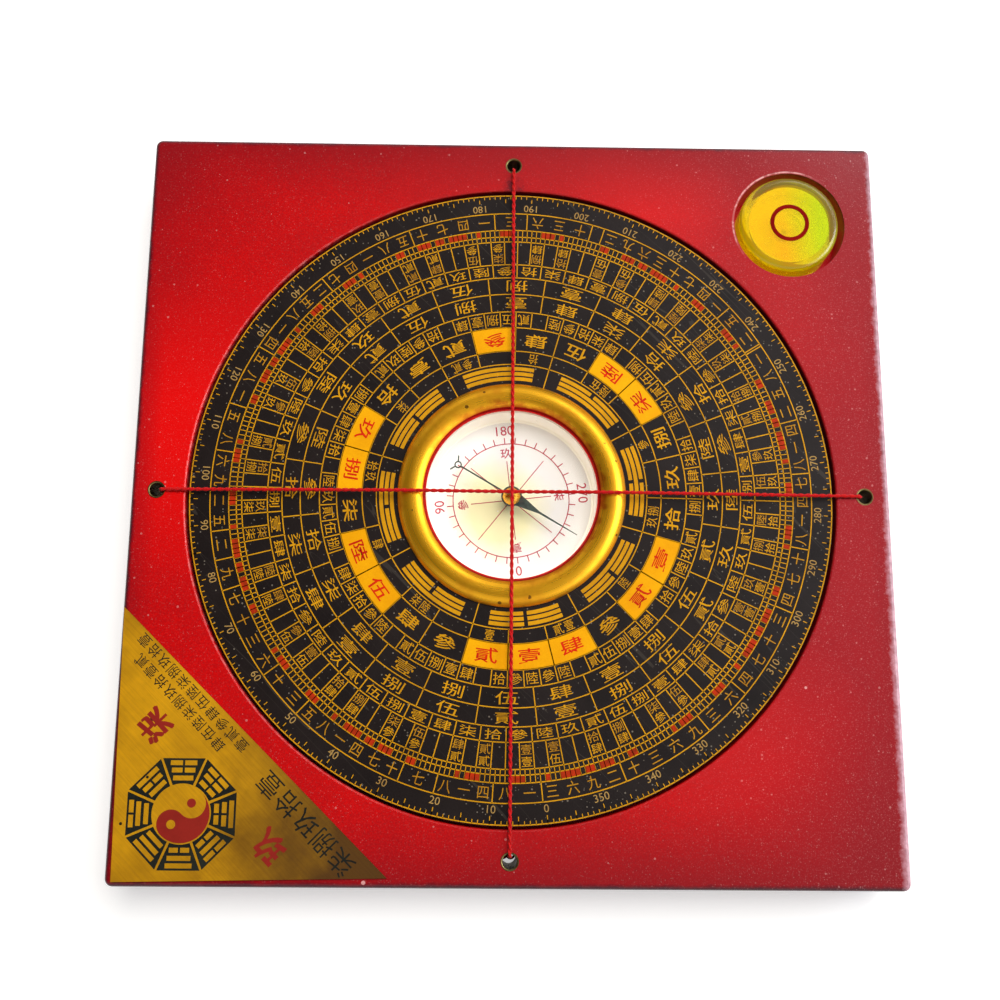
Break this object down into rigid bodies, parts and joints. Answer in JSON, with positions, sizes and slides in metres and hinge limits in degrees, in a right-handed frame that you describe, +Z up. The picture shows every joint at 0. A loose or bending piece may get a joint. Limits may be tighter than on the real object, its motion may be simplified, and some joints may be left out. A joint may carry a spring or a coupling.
{
  "type": "feng shui compass",
  "caption": "Square lacquered feng shui compass with a turning ringed dial, a needle compass at its centre, a bullseye level, a brass corner plate and crossed threads.",
  "frame": {"origin": "middle of the board's underside", "axes": "+Z up along the dial's turning axis, +X to the board's right edge, +Y to its far edge"},
  "size_m": [0.145, 0.145, 0.0187],
  "materials": {
    "red_lacquered_wood": "gloss lacquer, chipped at the edges",
    "dial_core_board": "plain dark core",
    "dial_face_black": "satin black with gold lines",
    "bezel_brass": "polished, tarnished in spots",
    "cup_white": "gloss white",
    "card_paper": "white card printed in red",
    "needle_steel": "blued steel",
    "cap_brass": "turned",
    "jewel_stone": "polished agate",
    "pivot_steel": "hardened and polished",
    "clear_glass": "clear",
    "gasket_red": "semi-gloss",
    "bush_brass": "turned",
    "washer_steel": "plated",
    "screw_steel": "plated",
    "felt_green": "felt",
    "vial_acrylic": "clear acrylic",
    "level_liquid_yellow": "yellow-green liquid",
    "level_air": "air bubble",
    "mark_red": "gloss red",
    "plate_brass": "brushed along one diagonal",
    "eyelet_nickel": "dulled nickel plate",
    "thread_red": "two-ply twisted thread"
  },
  "bodies": {
    "base": {"base_board": "red_lacquered_wood", "dial_felt": "felt_green", "hub_bush": "bush_brass", "level_body": "vial_acrylic", "level_base": "vial_acrylic", "level_mark": "mark_red", "corner_plate": "plate_brass", "thread_eyelets": "eyelet_nickel", "thread_ns": "thread_red", "thread_ew": "thread_red"},
    "dial": {"dial_disc": "dial_core_board", "dial_plate": "dial_face_black", "compass_cup": "cup_white", "compass_card": "card_paper", "cover_glass": "clear_glass", "glass_gasket": "gasket_red", "bezel_ring": "bezel_brass", "pivot_pin": "pivot_steel", "hub_washer": "washer_steel", "hub_screw": "screw_steel"},
    "needle": {"compass_needle": "needle_steel", "needle_cap": "cap_brass", "needle_jewel": "jewel_stone"},
    "liquid": {"level_liquid": "level_liquid_yellow"},
    "bubble": {"level_bubble": "level_air"}
  },
  "joints": [
    {"name": "dial_turn", "type": "hinge", "parent": "base", "child": "dial", "pos_m": [0, 0, 0.005], "axis": [0, 0, 1], "continuous": true},
    {"name": "needle_swing", "type": "hinge", "parent": "dial", "child": "needle", "pos_m": [0, 0, 0.0131], "axis": [0, 0, 1], "continuous": true},
    {"name": "bubble_bearing", "type": "hinge", "parent": "base", "child": "liquid", "pos_m": [0.0555, 0.0561, 0.012], "axis": [0, 0, 1], "continuous": true},
    {"name": "bubble_travel", "type": "slide", "parent": "liquid", "child": "bubble", "axis": [1, 0, 0], "range_m": [0, 0.005], "deforming": ["level_liquid"]}
  ]
}
